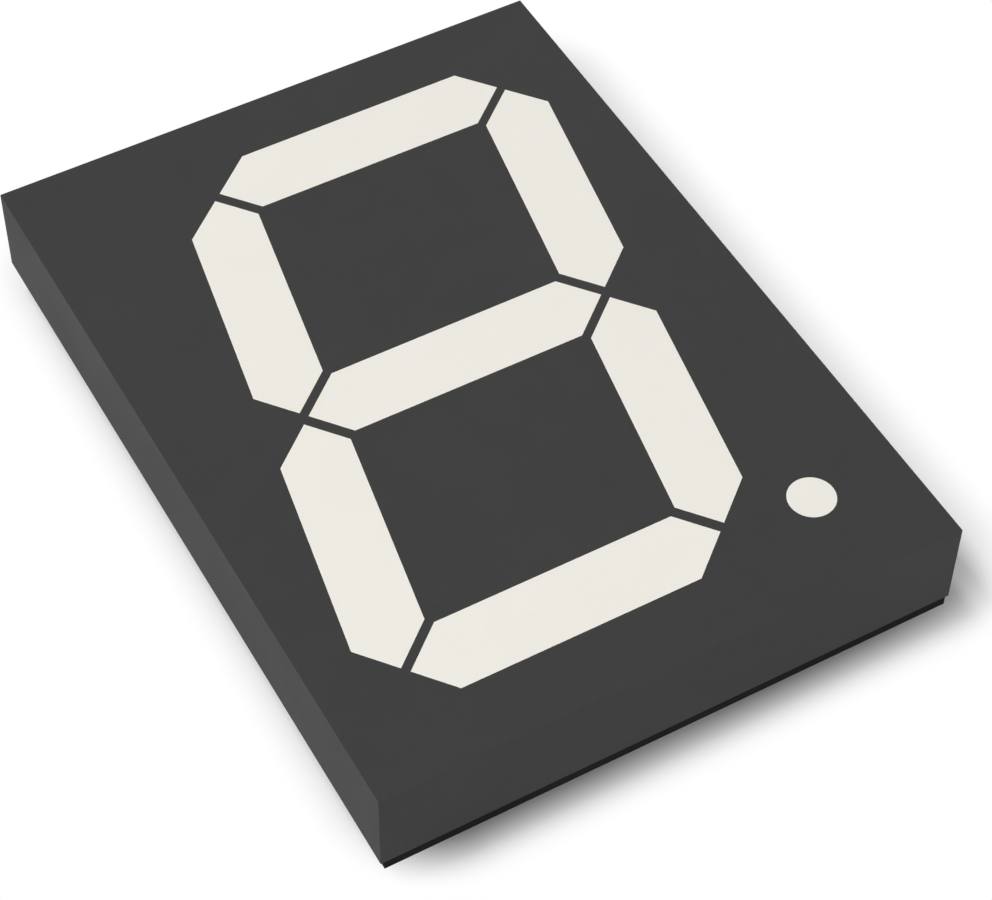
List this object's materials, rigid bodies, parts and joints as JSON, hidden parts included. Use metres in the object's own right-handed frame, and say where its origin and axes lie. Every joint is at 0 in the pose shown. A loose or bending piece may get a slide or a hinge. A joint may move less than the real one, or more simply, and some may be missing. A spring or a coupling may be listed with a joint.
{
  "type": "seven segment display",
  "caption": "Large seven segment display: pointed resin bars and a round decimal point set flush in a flat moulded housing, on a circuit board with rows of pins.",
  "frame": {"origin": "middle of the seating plane, where the shoulders of the pins meet a host board", "axes": "+Z out of the display's face, +Y up the digit, +X to the digit's right as it is read"},
  "size_m": [0.09, 0.122, 0.0216],
  "materials": {
    "housing": "matte",
    "resin": "matte",
    "board": "satin",
    "pin": "tinned",
    "solder": "satin",
    "chip": "polished",
    "wire": "polished"
  },
  "bodies": {
    "root": {"reflector_housing": "housing", "circuit_board": "board", "solder_joints": "solder", "segment_a": "resin", "segment_b": "resin", "segment_c": "resin", "segment_d": "resin", "segment_e": "resin", "segment_f": "resin", "segment_g": "resin", "decimal_point": "resin", "led_chips_a": "chip", "led_chips_b": "chip", "led_chips_c": "chip", "led_chips_d": "chip", "led_chips_e": "chip", "led_chips_f": "chip", "led_chips_g": "chip", "led_chips_point": "chip", "bond_wires_a": "wire", "bond_wires_b": "wire", "bond_wires_c": "wire", "bond_wires_d": "wire", "bond_wires_e": "wire", "bond_wires_f": "wire", "bond_wires_g": "wire", "bond_wires_point": "wire", "pin_1": "pin", "pin_2": "pin", "pin_3": "pin", "pin_4": "pin", "pin_5": "pin", "pin_6": "pin", "pin_7": "pin", "pin_8": "pin", "pin_9": "pin", "pin_10": "pin"}
  },
  "joints": []
}
